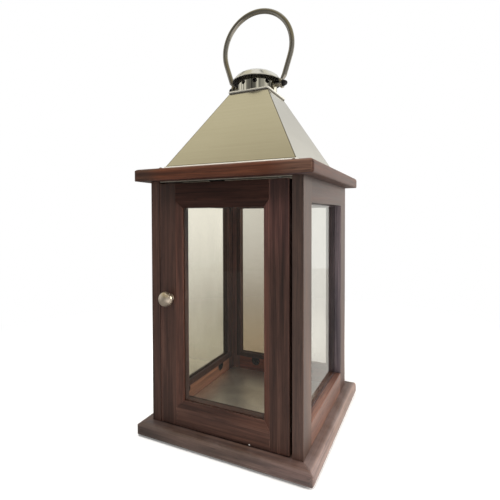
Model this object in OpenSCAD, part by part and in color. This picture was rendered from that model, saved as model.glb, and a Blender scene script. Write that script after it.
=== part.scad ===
/* [Body] */
// Width and depth of the glazed body
body_w = 200; // [170:1:260]
// Height of the glazed body between the two boards
body_h = 301; // [200:1:420]
// Thickness of the left and right glazed frames
side_t = 12.5; // [12:0.5:16]
// Thickness of the back glazed frame
back_t = 14; // [12:0.5:16]
// Width of the upright members of the side frames
stile_w = 28; // [20:1:40]
// Width of the upright members of the back frame
back_stile_w = 12.5; // [10:0.5:30]
// Height of the top rails of the glazed frames
top_rail_h = 28; // [20:1:45]
// Height of the bottom rails of the glazed frames
bottom_rail_h = 27; // [26:1:45]
// Height of the sill behind the door
sill_h = 26; // [12:1:28]
// Thickness of the sill behind the door
sill_t = 11.7; // [8:0.1:16]

/* [Boards] */
// Width and depth of the plinth
plinth_w = 231; // [226:1:300]
// Thickness of the plinth
plinth_t = 15; // [13:0.5:24]
// Width and depth of the top frame
top_w = 230; // [226:1:300]
// Thickness of the top frame
top_t = 15; // [13:0.5:24]
// How far the plinth's boards reach in past the side frames
plinth_reach = 17; // [13:0.5:24]
// How far the top frame's boards reach in past the side frames
top_reach = 17.5; // [13:0.5:24]
// Rounding of the plinth's upper outer edge
plinth_upper_r = 7.5; // [1:0.5:8]
// Rounding of the top frame's upper outer edge
top_upper_r = 5.5; // [1:0.5:6]
// Rounding of the plinth's lower outer edge
plinth_lower_r = 4; // [1:0.5:6]
// Rounding of the top frame's lower outer edge
top_lower_r = 2.5; // [1:0.5:6]
// Rounding of the plinth's corners seen from above
plinth_corner_r = 7; // [1:0.5:12]
// Rounding of the top frame's corners seen from above
top_corner_r = 4; // [1:0.5:12]
// Thickness of the floor panel let into the plinth
floor_panel_t = 9; // [6:0.5:12]
// Width of the ledge that carries the floor panel
floor_ledge = 8; // [4:0.5:12]
// Thickness of the polished floor plate
floor_plate_t = 1; // [0.6:0.1:2]
// Diameter of the felt feet
foot_d = 16; // [10:1:24]
// Height of the felt feet
foot_h = 1.5; // [1:0.5:4]
// Distance of each foot's centre from the plinth's edges
foot_inset = 21; // [16:1:40]

/* [Glazing] */
// Thickness of the glass panes
glass_t = 2; // [1.5:0.1:3]
// Depth of the side and back panes behind the outer face
glass_depth = 9; // [7:0.5:9.5]
// Width of the step that holds a pane
rebate_w = 5; // [4:0.5:7]
// Width of the strips that hold the panes
bead_w = 7; // [5:0.5:9]
// Thickness of the strips that hold the side and back panes
bead_t = 4; // [2:0.5:5]

/* [Joinery] */
// Thickness of the tenons in the side and back frames
tenon_t = 4; // [3:0.5:5]
// Wood left beyond the end of a tenon
tenon_stop = 6; // [4:0.5:8]
// Shoulder above and below a tenon
tenon_shoulder = 6; // [2:0.5:8]
// Diameter of the round screw recesses inside the bottom rails
recess_d = 14; // [12:0.5:16]
// Depth of the round screw recesses
recess_depth = 7; // [5:0.5:8]
// Height of the recesses above the plinth
recess_z = 17.5; // [16:0.5:18]
// Distance of each recess from the middle of its rail
recess_x = 45; // [20:1:60]
// Diameter of the wood screws
screw_d = 3; // [2.5:0.5:3.5]
// Diameter of the wood screws' heads
screw_head_d = 5.6; // [5:0.2:6]
// Height of the wood screws' heads
screw_head_h = 1.8; // [1:0.1:2.5]
// Length of the rail screws below the head
rail_screw_l = 24; // [18:1:26]
// Lean of the rail screws from the vertical
rail_screw_lean = 25; // [15:1:27]
// Diameter of the dowels under the top frame
dowel_d = 6; // [4:0.5:6]
// Length of the dowels
dowel_l = 24; // [12:1:26]

/* [Door] */
// Thickness of the door
door_t = 16; // [14:0.5:17]
// Width of the door's upright members
door_stile_w = 31; // [30:0.5:40]
// Height of the door's top and bottom members
door_rail_h = 30; // [28:0.5:45]
// Width of the bevel round the glass
bevel_w = 8; // [3:0.5:9]
// Depth of the bevel round the glass
bevel_d = 4; // [2:0.5:5]
// Thickness of the lip between the bevel and the glass
lip_t = 2; // [1:0.5:3]
// Gap at the hinge side of the door
hinge_gap = 3.4; // [3:0.1:5]
// Gap at the latch side of the door
latch_gap = 1; // [0.8:0.1:3]
// Gap above the door
door_top_gap = 2.8; // [2.4:0.1:5]
// Gap below the door
door_bottom_gap = 1.5; // [1.2:0.1:3]
// Distance of the pivot from the door's hinge edge
pivot_inset = 13; // [10:0.5:13.5]
// Diameter of the pivot pins
pivot_d = 5; // [3:0.5:5]
// Depth of the pivot bores in the door
pivot_door_l = 20; // [10:1:24]
// Depth of the pivot bores in the two boards
pivot_board_l = 11; // [6:1:11]
// Diameter of the washer under the door
thrust_washer_d = 12; // [8:1:15]
// Diameter of the round knob
knob_d = 18.5; // [14:0.5:24]
// Thickness of the knob's head from front to back
knob_head_t = 15; // [12:0.5:20]
// Height of the knob's centre above the plinth
knob_z = 158; // [60:1:190]
// Distance of the knob's centre from the door's latch edge
knob_inset = 15; // [11:0.5:20]
// Diameter of the knob's neck
knob_neck_d = 7.5; // [7:0.5:10]
// Length of the knob's neck between foot and head
knob_neck_l = 0.6; // [0.4:0.1:6]
// Diameter of the knob's foot
knob_foot_d = 10; // [8:0.5:14]
// Thickness of the knob's foot
knob_foot_t = 1; // [0.8:0.1:3]
// Diameter of the knob's screw
knob_screw_d = 4; // [3:0.5:5]
// Distance of the catch from the door's middle, towards the latch side
catch_shift = 8; // [-20:1:20]
// Length of the catch magnet and its strike plate
catch_l = 17; // [10:1:30]
// Width of the catch magnet and its strike plate
catch_w = 8; // [5:0.5:10]
// Thickness of the catch magnet
catch_t = 1.1; // [0.6:0.1:1.2]
// Thickness of the strike plate
strike_t = 1; // [0.6:0.1:2]

// Width of the small block that stops the door at the top
stop_w = 14; // [8:1:24]
// Height of the stop block
stop_h = 9; // [5:0.5:14]
// Thickness of the stop block
stop_t = 10; // [6:0.5:14]

/* [Roof] */
// Width of the roof at its foot
roof_w = 181; // [160:1:190]
// Width of the roof at its top
roof_top_w = 56; // [54:1:70]
// Height of the roof
roof_h = 106; // [60:1:160]
// Thickness of the roof's sheet metal
sheet_t = 1; // [0.8:0.1:1.5]
// Height of the folded hem at the roof's foot
hem_h = 5; // [2:0.5:8]
// Amount that the hem stands out from the roof
hem_out = 0.8; // [0.4:0.1:1.5]
// Width of the roof's turned-out foot
roof_foot_w = 11; // [8:0.5:12]
// Distance of the roof screws from the middle of their side
roof_screw_x = 88; // [40:1:88]
// Length of the roof screws below the head
roof_screw_l = 9; // [5:1:10]
// Thickness of the steel lining under the top frame
lining_t = 0.8; // [0.5:0.1:1]
// Diameter of the smoke hole in the lining
smoke_hole_d = 124; // [80:1:130]
// Distance of the lining's screws from the side frames
lining_screw_inset = 8.5; // [5:0.5:11]
// Distance of the lining's screws from its middle, front and back
lining_screw_y = 45; // [10:1:60]
// Length of the lining's screws below the head
lining_screw_l = 8; // [5:1:10]

/* [Chimney] */
// Width of the square collar
collar_w = 60; // [56:0.5:72]
// Thickness of the collar
collar_t = 2.8; // [1.5:0.1:4]
// Rounding of the collar's corners
collar_r = 4; // [2:0.5:10]
// Diameter of the drum
drum_d = 54; // [46:0.5:55]
// Wall of the drum
drum_wall = 1; // [0.8:0.1:2]
// Height of the drum
drum_h = 24.5; // [22:0.5:40]
// Number of holes round the drum, the two handle bolts included
vent_n = 10; // [6:4:14]
// Diameter of the vent holes
vent_d = 6; // [3:0.5:8]
// Height of the holes and the handle bolts above the collar
vent_z = 11.5; // [10:0.5:13]
// Diameter of the cap
cap_d = 68.6; // [62:0.2:68.8]
// Height of the cap's straight skirt
skirt_h = 2; // [2:0.5:3.5]
// Height of the cap's dome above the shoulder
dome_h = 8.8; // [6:0.2:16]
// Wall of the cap
cap_wall = 1; // [0.8:0.1:1.5]
// Depth by which the cap covers the drum
cap_cover = 8; // [7:0.1:8]

/* [Handle] */
// Radius of the ring at the middle of its bar
ring_r = 50.7; // [42:0.1:58]
// Diameter of the ring's bar
bar_d = 7; // [5:0.5:8]
// Height of the ring's centre above the bolts
ring_rise = 51.6; // [44:0.1:70]
// Distance of each flattened eye from the middle
eye_x = 36.4; // [36.4:0.1:38]
// Thickness of the flattened eyes
eye_t = 3; // [2.4:0.2:3]
// Diameter of the eyes
eye_d = 12.5; // [12:0.5:14]
// Diameter of the handle bolts
bolt_d = 4; // [3:0.5:5]
// Diameter of the bolts' heads inside the drum
bolt_head_d = 9; // [8:0.5:12]
// Height of the bolts' heads
bolt_head_h = 3; // [2:0.5:5]
// Diameter of the spacers between drum and eyes
spacer_d = 7.5; // [7:0.5:7.5]
// Diameter of the washers
washer_d = 9; // [8:0.5:9]
// Thickness of the washers
washer_t = 0.6; // [0.5:0.1:2]
// Width of the cap nuts across two opposite corners
nut_d = 8; // [7.5:0.5:9]
// Height of the cap nuts' hexagon
nut_h = 2.2; // [2:0.1:5]

/* [Hidden] */

$fn = 48;
// Overshoot of every cut, so that it leaves no skin
over = 1;
// Clearance of glued and loosely fitted wood
fit = 0.1;
// Radial clearance of a turning fit
turn_fit = 0.05;
// Radial clearance of a fixed pin or screw
pin_fit = 0.02;
// Clearance between a moving piece and its stop
stop_gap = 0.3;
// Clearance round a pane
pane_fit = 0.5;
// Steps of a quarter round
round_steps = 6;

plinth_z = foot_h + plinth_t;
top_z = plinth_z + body_h;
roof_z = top_z + top_t;
collar_z = roof_z + roof_h;
drum_z = collar_z + collar_t;
bolt_z = drum_z + vent_z;
cap_z = drum_z + drum_h - cap_cover;

half_w = body_w / 2;
front_y = -half_w;
inner_x = half_w - side_t;
glass_y1 = glass_depth + glass_t;
pane_bottom = bottom_rail_h;
pane_top = body_h - top_rail_h;
back_w = 2 * inner_x;
// Half the width of the opening between the plinth's boards
plinth_e = inner_x - plinth_reach;

door_l = -inner_x + latch_gap;
door_r = inner_x - hinge_gap;
door_b = plinth_z + door_bottom_gap;
door_top = top_z - door_top_gap;
door_y1 = front_y + door_t;
sight_l = door_l + door_stile_w;
sight_r = door_r - door_stile_w;
sight_b = door_b + door_rail_h;
sight_t = door_top - door_rail_h;
door_glass_y = front_y + bevel_d + lip_t;
door_bead_y = door_glass_y + glass_t;
pivot_x = door_r - pivot_inset;
pivot_y = front_y + door_t / 2;
knob_x = door_l + knob_inset;
knob_seat = knob_foot_t + knob_neck_l;
catch_x = (door_l + door_r) / 2 - catch_shift;
door_tenon_l = 6;
door_tenon_t = 5;
door_tenon_y = front_y + bevel_d + 1;
door_tenon_edge = 3;
thrust_washer_t = door_bottom_gap - stop_gap;
sill_y = door_y1 + stop_gap;

// Foot of a rail screw's shank, measured from the frame's outer face
screw_seat_y = glass_depth - 1.2;
screw_seat_z = recess_z - 6.5;

drum_r = drum_d / 2;
cap_r = cap_d / 2;
eye_in = eye_x - eye_t / 2;
eye_out = eye_x + eye_t / 2;
// The straight limbs leave the ring's arc where they point at the eyes
eye_reach = sqrt(eye_x * eye_x + ring_rise * ring_rise);
ring_end = atan2(-ring_rise, eye_x) + acos(ring_r / eye_reach);
limb_l = sqrt(eye_reach * eye_reach - ring_r * ring_r);
// Length over which the round bar turns into the flat eye
flare = 11;
neck_w = 5.6;
neck_z = 4.3;
nut_x = eye_out + stop_gap + washer_t;
nut_dome_r = nut_d * 0.4;
bolt_tip = 0.8;
bolt_end = nut_x + nut_h + bolt_tip;

// The knob stands out in front of the plinth by this much: half of it moves
// the lantern back, so that its box is centred on the origin
knob_lead = half_w + knob_seat + knob_head_t - max(plinth_w, top_w) / 2;
centre_y = max(knob_lead, 0) / 2;

wood = "#5a3d33";
wood_light = "#6b4a3c";
steel = "#c9c6ba";
dark_steel = "#3a3c40";
glass = "#cfd8d6";

function arc(cx, cy, r, a0, a1, n) =
    [for (i = [0:n]) [cx + r * cos(a0 + (a1 - a0) * i / n), cy + r * sin(a0 + (a1 - a0) * i / n)]];

// Outline of a square with rounded corners
module rounded_square(w, r) {
    c = w / 2 - r;
    polygon(concat(arc(c, c, r, 0, 90, round_steps), arc(-c, c, r, 90, 180, round_steps),
        arc(-c, -c, r, 180, 270, round_steps), arc(c, -c, r, 270, 360, round_steps)));
}

// Section of a border board: outer edge at -w/2, inner edge at -e
module board_section(w, e, t, upper_r, lower_r) {
    polygon(concat(
        [[-e, 0], [-e, t]],
        arc(-w / 2 + upper_r, t - upper_r, upper_r, 90, 180, round_steps),
        arc(-w / 2 + lower_r, lower_r, lower_r, 180, 270, round_steps)));
}

// One mitred border board along the front edge, its underside at z = 0
module border_board(w, e, t, upper_r, lower_r, corner_r) {
    intersection() {
        rotate([90, 0, 90])
            translate([0, 0, -w / 2])
                linear_extrude(w) board_section(w, e, t, upper_r, lower_r);
        linear_extrude(t)
            intersection() {
                rounded_square(w, corner_r);
                polygon([[-w / 2, -w / 2], [w / 2, -w / 2], [e, -e], [-e, -e]]);
            }
    }
}

// Places a glazed frame: children have x along the frame, y = 0 at the
// outer face and inwards, z = 0 on the plinth
module at_right() { translate([half_w, 0, plinth_z]) rotate([0, 0, 90]) children(); }
module at_left() { translate([-half_w, 0, plinth_z]) rotate([0, 0, -90]) children(); }
module at_back() { translate([0, half_w, plinth_z]) rotate([0, 0, 180]) children(); }

module centred() { translate([0, centre_y, 0]) children(); }

module box(x0, x1, y0, y1, z0, z1) {
    translate([x0, y0, z0]) cube([x1 - x0, y1 - y0, z1 - z0]);
}

// Step for the pane and its strips, cut from the inside
module frame_rebate(w, t, sw) {
    e = w / 2 - sw + rebate_w;
    box(-e, e, glass_depth, t + over, pane_bottom - rebate_w, pane_top + rebate_w);
}

module tenon(w, sw, z0, z1, gap) {
    x0 = w / 2 - sw;
    for (s = [-1, 1])
        mirror([s < 0 ? 1 : 0, 0, 0])
            box(x0 - over, x0 + sw - tenon_stop + gap,
                glass_depth / 2 - tenon_t / 2 - gap, glass_depth / 2 + tenon_t / 2 + gap,
                z0 + tenon_shoulder - gap, z1 - tenon_shoulder + gap);
}

// Round recess and slanting bore for the two screws of a bottom rail
module screw_axis() {
    for (s = [-1, 1])
        translate([s * recess_x, screw_seat_y, screw_seat_z])
            rotate([-rail_screw_lean, 0, 0]) children();
}
module rail_screw_bores(r_gap) {
    screw_axis() {
        translate([0, 0, -rail_screw_l - over])
            cylinder(d = screw_d + 2 * r_gap, h = rail_screw_l + over + fit);
        cylinder(d = screw_head_d + 2 * fit, h = recess_z - screw_seat_z);
    }
}
module recesses(t) {
    for (s = [-1, 1])
        translate([s * recess_x, t - recess_depth, recess_z])
            rotate([-90, 0, 0]) cylinder(d = recess_d, h = recess_depth + over);
}

module frame_stile(w, t, sw, side) {
    x0 = w / 2 - sw;
    difference() {
        mirror([side < 0 ? 1 : 0, 0, 0]) box(x0, w / 2, 0, t, 0, body_h);
        frame_rebate(w, t, sw);
        tenon(w, sw, 0, bottom_rail_h, fit);
        tenon(w, sw, pane_top, body_h, fit);
        children();
    }
}

module frame_rail(w, t, sw, z0, z1) {
    difference() {
        union() {
            box(-w / 2 + sw, w / 2 - sw, 0, t, z0, z1);
            tenon(w, sw, z0, z1, 0);
        }
        frame_rebate(w, t, sw);
        children();
    }
}

module frame_pane(w, sw) {
    e = w / 2 - sw + rebate_w - pane_fit;
    box(-e, e, glass_depth, glass_y1,
        pane_bottom - rebate_w + pane_fit, pane_top + rebate_w - pane_fit);
}

// Four strips round a pane, the upright ones between the other two
module bead_strips(x0, x1, z0, z1, y0, y1, w) {
    for (z = [z0, z1 - w]) box(x0, x1, y0, y1, z, z + w);
    for (x = [x0, x1 - w]) box(x, x + w, y0, y1, z0 + w + fit, z1 - w - fit);
}
module frame_beads(w, sw) {
    e = w / 2 - sw + rebate_w - fit;
    bead_strips(-e, e, pane_bottom - rebate_w + fit, pane_top + rebate_w - fit,
        glass_y1, glass_y1 + bead_t, bead_w);
}

// Dowels stand in the side frames' uprights, clear of the step for the pane
module dowels(r, l0, l1) {
    for (sx = [-1, 1], sy = [-1, 1])
        translate([sx * (half_w - dowel_d / 2 - 2.5), sy * (half_w - stile_w / 2), top_z - l0])
            cylinder(r = r, h = l0 + l1);
}
module dowel_bores() { dowels(dowel_d / 2 + pin_fit, dowel_l / 2 + fit, dowel_l / 2 + fit); }

module feet() {
    c = plinth_w / 2 - foot_inset;
    centred() color("#4b4744")
        for (sx = [-1, 1], sy = [-1, 1])
            translate([sx * c, sy * c, 0]) cylinder(d = foot_d, h = foot_h);
}

module plinth_board(turn) {
    e = plinth_e + floor_ledge;
    centred() color(wood)
        difference() {
            translate([0, 0, foot_h]) rotate([0, 0, turn])
                border_board(plinth_w, plinth_e, plinth_t, plinth_upper_r, plinth_lower_r,
                    plinth_corner_r);
            box(-e, e, -e, e, plinth_z - floor_panel_t, plinth_z + over);
            at_left() rail_screw_bores(pin_fit);
            at_right() rail_screw_bores(pin_fit);
            at_back() rail_screw_bores(pin_fit);
            pivot_axis(pin_fit, plinth_z - pivot_board_l, plinth_z + over);
        }
}
module plinth_front() { plinth_board(0); }
module plinth_right() { plinth_board(90); }
module plinth_back() { plinth_board(180); }
module plinth_left() { plinth_board(270); }

module floor_panel() {
    e = plinth_e + floor_ledge - fit;
    centred() color(wood_light) box(-e, e, -e, e, plinth_z - floor_panel_t, plinth_z);
}

module floor_plate() {
    e = inner_x - stop_gap;
    centred() color(steel)
        box(-e, e, sill_y + sill_t + stop_gap, half_w - back_t - stop_gap,
            plinth_z, plinth_z + floor_plate_t);
}

// The sill ends clear of the door's hinge edge, which swings inwards, and is
// notched round the strip of the left pane
module front_sill() {
    tail = sqrt(pivot_inset * pivot_inset + door_t * door_t / 4);
    strip_x = half_w - glass_y1 - bead_t - stop_gap;
    strip_y = half_w - stile_w + rebate_w + stop_gap;
    strip_z = plinth_z + pane_bottom - rebate_w - stop_gap;
    centred() color(wood)
        difference() {
            box(-inner_x, pivot_x - tail - over, sill_y, sill_y + sill_t,
                plinth_z, plinth_z + sill_h);
            box(-inner_x - over, -strip_x, -strip_y, sill_y + sill_t + over,
                strip_z, plinth_z + sill_h + over);
        }
}
module stop_block() {
    x0 = door_l + latch_gap + stop_t / 2;
    z1 = top_z - lining_t;
    centred() color(wood) box(x0, x0 + stop_w, sill_y, sill_y + stop_t, z1 - stop_h, z1);
}

module rail_screw() {
    translate([0, 0, -rail_screw_l]) cylinder(d = screw_d, h = rail_screw_l + screw_head_h / 2);
    cylinder(d1 = screw_head_d, d2 = screw_head_d * 0.8, h = screw_head_h);
}
module rail_screws() {
    centred() color(dark_steel) {
        at_left() screw_axis() rail_screw();
        at_right() screw_axis() rail_screw();
        at_back() screw_axis() rail_screw();
    }
}

module side_dowel_bores() {
    rotate([0, 0, 90]) translate([half_w, 0, -plinth_z]) dowel_bores();
}
module side_stile(side) {
    frame_stile(body_w, side_t, stile_w, side) side_dowel_bores();
}
module side_bottom_rail() {
    frame_rail(body_w, side_t, stile_w, 0, bottom_rail_h) {
        recesses(side_t);
        rail_screw_bores(pin_fit);
    }
}
module side_top_rail() {
    frame_rail(body_w, side_t, stile_w, pane_top, body_h) side_dowel_bores();
}

// On the left frame the local x axis runs forwards, on the right one backwards
module left_front_stile() { centred() color(wood) at_left() side_stile(1); }
module left_rear_stile() { centred() color(wood) at_left() side_stile(-1); }
module left_top_rail() { centred() color(wood) at_left() side_top_rail(); }
module left_bottom_rail() { centred() color(wood) at_left() side_bottom_rail(); }
module left_pane() { centred() color(glass, 0.3) at_left() frame_pane(body_w, stile_w); }
module left_beads() { centred() color(wood_light) at_left() frame_beads(body_w, stile_w); }
module right_front_stile() { centred() color(wood) at_right() side_stile(-1); }
module right_rear_stile() { centred() color(wood) at_right() side_stile(1); }
module right_top_rail() { centred() color(wood) at_right() side_top_rail(); }
module right_bottom_rail() { centred() color(wood) at_right() side_bottom_rail(); }
module right_pane() { centred() color(glass, 0.3) at_right() frame_pane(body_w, stile_w); }
module right_beads() { centred() color(wood_light) at_right() frame_beads(body_w, stile_w); }

module back_left_stile() { centred() color(wood) at_back() frame_stile(back_w, back_t, back_stile_w, 1); }
module back_right_stile() { centred() color(wood) at_back() frame_stile(back_w, back_t, back_stile_w, -1); }
module back_top_rail() {
    centred() color(wood) at_back() frame_rail(back_w, back_t, back_stile_w, pane_top, body_h);
}
module back_bottom_rail() {
    centred() color(wood)
        at_back() frame_rail(back_w, back_t, back_stile_w, 0, bottom_rail_h) {
            recesses(back_t);
            rail_screw_bores(pin_fit);
        }
}
module back_pane() { centred() color(glass, 0.3) at_back() frame_pane(back_w, back_stile_w); }
module back_beads() { centred() color(wood_light) at_back() frame_beads(back_w, back_stile_w); }

// Shape common to the door's two uprights, drawn for the left one
module door_stile_outline(flip) {
    xo = flip ? -door_r : door_l;
    xs = flip ? -sight_r : sight_l;
    polygon([[xo, door_b], [xs - bevel_w, door_b], [xs - bevel_w, sight_b - bevel_w],
        [xs, sight_b], [xs, sight_t], [xs - bevel_w, sight_t + bevel_w],
        [xs - bevel_w, door_top], [xo, door_top]]);
}
module door_rail_outline(top) {
    zs = top ? sight_t : sight_b;
    zo = top ? door_top : door_b;
    zb = top ? sight_t + bevel_w : sight_b - bevel_w;
    polygon([[sight_l - bevel_w, zo], [sight_l - bevel_w, zb], [sight_l, zs],
        [sight_r, zs], [sight_r + bevel_w, zb], [sight_r + bevel_w, zo]]);
}
module through_door() {
    translate([0, door_y1, 0]) rotate([90, 0, 0]) linear_extrude(door_t) children();
}
// Section of the bevel: u is 0 at the glass opening's edge and runs into the wood
module bevel_section() {
    run = bevel_w / bevel_d;
    polygon([[bevel_w + run * over, -over], [-over, -over], [-over, bevel_d + over / run]]);
}
module upright_bevel() {
    translate([0, front_y, door_b - over])
        linear_extrude(door_top - door_b + 2 * over) bevel_section();
}
module level_bevel() {
    rotate([90, 0, 90])
        translate([front_y, 0, door_l - over])
            linear_extrude(door_r - door_l + 2 * over)
                mirror([1, -1, 0]) bevel_section();
}
module door_rebate() {
    box(sight_l - rebate_w, sight_r + rebate_w, door_glass_y, door_y1 + over,
        sight_b - rebate_w, sight_t + rebate_w);
}
module door_tenons(gap) {
    x0 = sight_l - bevel_w;
    x1 = sight_r + bevel_w;
    for (z = [door_b, sight_t + bevel_w])
        for (x = [[x0 - door_tenon_l - gap, x0 + over], [x1 - over, x1 + door_tenon_l + gap]])
            box(x[0], x[1], door_tenon_y - gap, door_tenon_y + door_tenon_t + gap,
                z + door_tenon_edge - gap, z + door_rail_h - bevel_w - door_tenon_edge + gap);
}
// Cylinder on the door's turning axis
module pivot_axis(gap, z0, z1) {
    translate([pivot_x, pivot_y, z0]) cylinder(d = pivot_d + 2 * gap, h = z1 - z0);
}

module door_hinge_stile() {
    centred() color(wood)
        difference() {
            through_door() mirror([1, 0]) door_stile_outline(true);
            translate([sight_r, 0, 0]) upright_bevel();
            door_rebate();
            door_tenons(fit);
            pivot_axis(turn_fit, door_b - over, door_b + pivot_door_l);
            pivot_axis(turn_fit, door_top - pivot_door_l, door_top + over);
        }
}
module door_latch_stile() {
    centred() color(wood)
        difference() {
            through_door() door_stile_outline(false);
            translate([sight_l, 0, 0]) mirror([1, 0, 0]) upright_bevel();
            door_rebate();
            door_tenons(fit);
            translate([knob_x, door_y1 + over, plinth_z + knob_z])
                rotate([90, 0, 0]) cylinder(d = knob_screw_d + 2 * fit, h = door_t + 2 * over);
        }
}
module door_top_rail() {
    centred() color(wood)
        difference() {
            union() {
                through_door() door_rail_outline(true);
                intersection() {
                    door_tenons(0);
                    box(door_l, door_r, front_y, door_y1, sight_t, door_top);
                }
            }
            translate([0, 0, sight_t]) level_bevel();
            door_rebate();
            strike(fit, over);
        }
}
module door_bottom_rail() {
    centred() color(wood)
        difference() {
            union() {
                through_door() door_rail_outline(false);
                intersection() {
                    door_tenons(0);
                    box(door_l, door_r, front_y, door_y1, door_b, sight_b);
                }
            }
            translate([0, 0, sight_b]) mirror([0, 0, 1]) level_bevel();
            door_rebate();
        }
}
module door_pane() {
    g = rebate_w - pane_fit;
    centred() color(glass, 0.3)
        box(sight_l - g, sight_r + g, door_glass_y, door_bead_y, sight_b - g, sight_t + g);
}
module door_beads() {
    g = rebate_w - fit;
    centred() color(wood_light)
        bead_strips(sight_l - g, sight_r + g, sight_b - g, sight_t + g,
            door_bead_y, door_y1, rebate_w);
}
// Half of the knob's outline, turned round its axis: foot, neck and round head
module knob_outline() {
    head = knob_head_t / 2;
    neck_r = knob_neck_d / 2;
    // Where the head's round outline meets the neck
    a0 = acos(neck_r / (knob_d / 2));
    polygon(concat(
        [[0, 0], [knob_foot_d / 2, 0], [knob_foot_d * 0.45, knob_foot_t], [neck_r, knob_foot_t]],
        [for (i = [0:2 * round_steps])
            let (a = -a0 + (90 + a0) * i / (2 * round_steps))
                [knob_d / 2 * cos(a), knob_seat + head * (1 + sin(a))]]));
}
module door_knob() {
    centred() color(steel)
        difference() {
            translate([knob_x, front_y, plinth_z + knob_z])
                rotate([90, 0, 0]) rotate_extrude($fn = 72) knob_outline();
            knob_screw_shank(pin_fit);
        }
}
module knob_screw_shank(gap) {
    translate([knob_x, door_y1, plinth_z + knob_z])
        rotate([90, 0, 0])
            cylinder(d = knob_screw_d + 2 * gap, h = door_t + knob_seat + knob_head_t / 2 + gap);
}
module knob_screw() {
    centred() color(dark_steel) {
        knob_screw_shank(0);
        translate([knob_x, door_y1 + screw_head_h, plinth_z + knob_z])
            rotate([90, 0, 0])
                cylinder(d1 = knob_screw_d * 1.5, d2 = knob_screw_d * 2, h = screw_head_h);
    }
}
module strike(gap, rise) {
    box(catch_x - catch_l / 2 - gap, catch_x + catch_l / 2 + gap,
        pivot_y - catch_w / 2 - gap, pivot_y + catch_w / 2 + gap,
        door_top - strike_t, door_top + rise);
}
module strike_plate() { centred() color(dark_steel) strike(0, 0); }

module door_pivots() {
    centred() color(steel) {
        pivot_axis(0, plinth_z - pivot_board_l + fit, door_b + pivot_door_l - fit);
        pivot_axis(0, door_top - pivot_door_l + fit, top_z + pivot_board_l - fit);
    }
}
module thrust_washer() {
    centred() color(steel)
        difference() {
            translate([pivot_x, pivot_y, plinth_z])
                cylinder(d = thrust_washer_d, h = thrust_washer_t);
            pivot_axis(turn_fit, plinth_z - over, plinth_z + thrust_washer_t + over);
        }
}
module catch_magnet() {
    z1 = top_z - lining_t;
    centred() color(dark_steel)
        box(catch_x - catch_l / 2, catch_x + catch_l / 2,
            pivot_y - catch_w / 2, pivot_y + catch_w / 2, z1 - catch_t, z1);
}

module top_board(turn) {
    centred() color(wood)
        difference() {
            translate([0, 0, top_z]) rotate([0, 0, turn])
                border_board(top_w, inner_x - top_reach, top_t, top_upper_r, top_lower_r,
                    top_corner_r);
            pivot_axis(pin_fit, top_z - over, top_z + pivot_board_l);
            dowel_bores();
            lining_screw_places() cylinder(d = screw_d + 2 * pin_fit, h = lining_screw_l + fit);
            roof_screw_places(0)
                translate([0, 0, -roof_screw_l - fit])
                    cylinder(d = screw_d + 2 * pin_fit, h = roof_screw_l + over);
        }
}
module top_front() { top_board(0); }
module top_right() { top_board(90); }
module top_back() { top_board(180); }
module top_left() { top_board(270); }
module top_dowels() { centred() color("#a98a63") dowels(dowel_d / 2, dowel_l / 2, dowel_l / 2); }

// Underside places of the lining's screws, z = 0 on the top frame's underside
module lining_screw_places() {
    for (sx = [-1, 1], sy = [-1, 1])
        translate([sx * (inner_x - lining_screw_inset), sy * lining_screw_y, top_z]) children();
}
module steel_lining() {
    e = inner_x - stop_gap;
    centred() color(steel)
        difference() {
            box(-e, e, front_y + over, half_w - back_t - stop_gap, top_z - lining_t, top_z);
            translate([0, 0, top_z - lining_t - over])
                cylinder(d = smoke_hole_d, h = lining_t + 2 * over, $fn = 96);
            pivot_axis(fit, top_z - lining_t - over, top_z + over);
            lining_screw_places()
                translate([0, 0, -lining_t - over])
                    cylinder(d = screw_d + 2 * fit, h = lining_t + 2 * over);
        }
}
module lining_screws() {
    centred() color(dark_steel)
        lining_screw_places() {
            translate([0, 0, -lining_t]) cylinder(d = screw_d, h = lining_t + lining_screw_l);
            translate([0, 0, -lining_t - screw_head_h])
                cylinder(d1 = screw_head_d * 0.7, d2 = screw_head_d, h = screw_head_h);
        }
}

// Square tapering block from width w0 at the bottom to w1 at height h
module square_taper(w0, w1, h) {
    section = [[-w0 / 2, 0], [w0 / 2, 0], [w1 / 2, h], [-w1 / 2, h]];
    intersection() {
        rotate([90, 0, 0]) translate([0, 0, -w0 / 2]) linear_extrude(w0) polygon(section);
        rotate([90, 0, 90]) translate([0, 0, -w0 / 2]) linear_extrude(w0) polygon(section);
    }
}
// Width of the roof's outside at height z above its foot
function roof_at(z) = roof_w - (roof_w - roof_top_w) * z / roof_h;
module roof_screw_places(lift) {
    y = roof_w / 2 + hem_out + (roof_foot_w - hem_out) / 2;
    for (sx = [-1, 1], sy = [-1, 1])
        translate([sx * roof_screw_x, sy * y, roof_z + lift]) children();
}
module roof() {
    slope = (roof_w - roof_top_w) / 2 / roof_h;
    inset = sheet_t * sqrt(1 + slope * slope);
    foot = roof_w + 2 * roof_foot_w;
    hem = roof_w + 2 * hem_out;
    centred() color(steel)
        difference() {
            translate([0, 0, roof_z]) {
                square_taper(roof_w, roof_top_w, roof_h);
                square_taper(hem, roof_at(hem_h) + 2 * hem_out, hem_h);
                translate([-foot / 2, -foot / 2, 0]) cube([foot, foot, sheet_t]);
            }
            translate([0, 0, roof_z - over])
                square_taper(roof_at(-over) - 2 * inset, roof_at(roof_h + over) - 2 * inset,
                    roof_h + 2 * over);
            roof_screw_places(-over) cylinder(d = screw_d + 2 * fit, h = sheet_t + 2 * over);
        }
}
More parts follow.
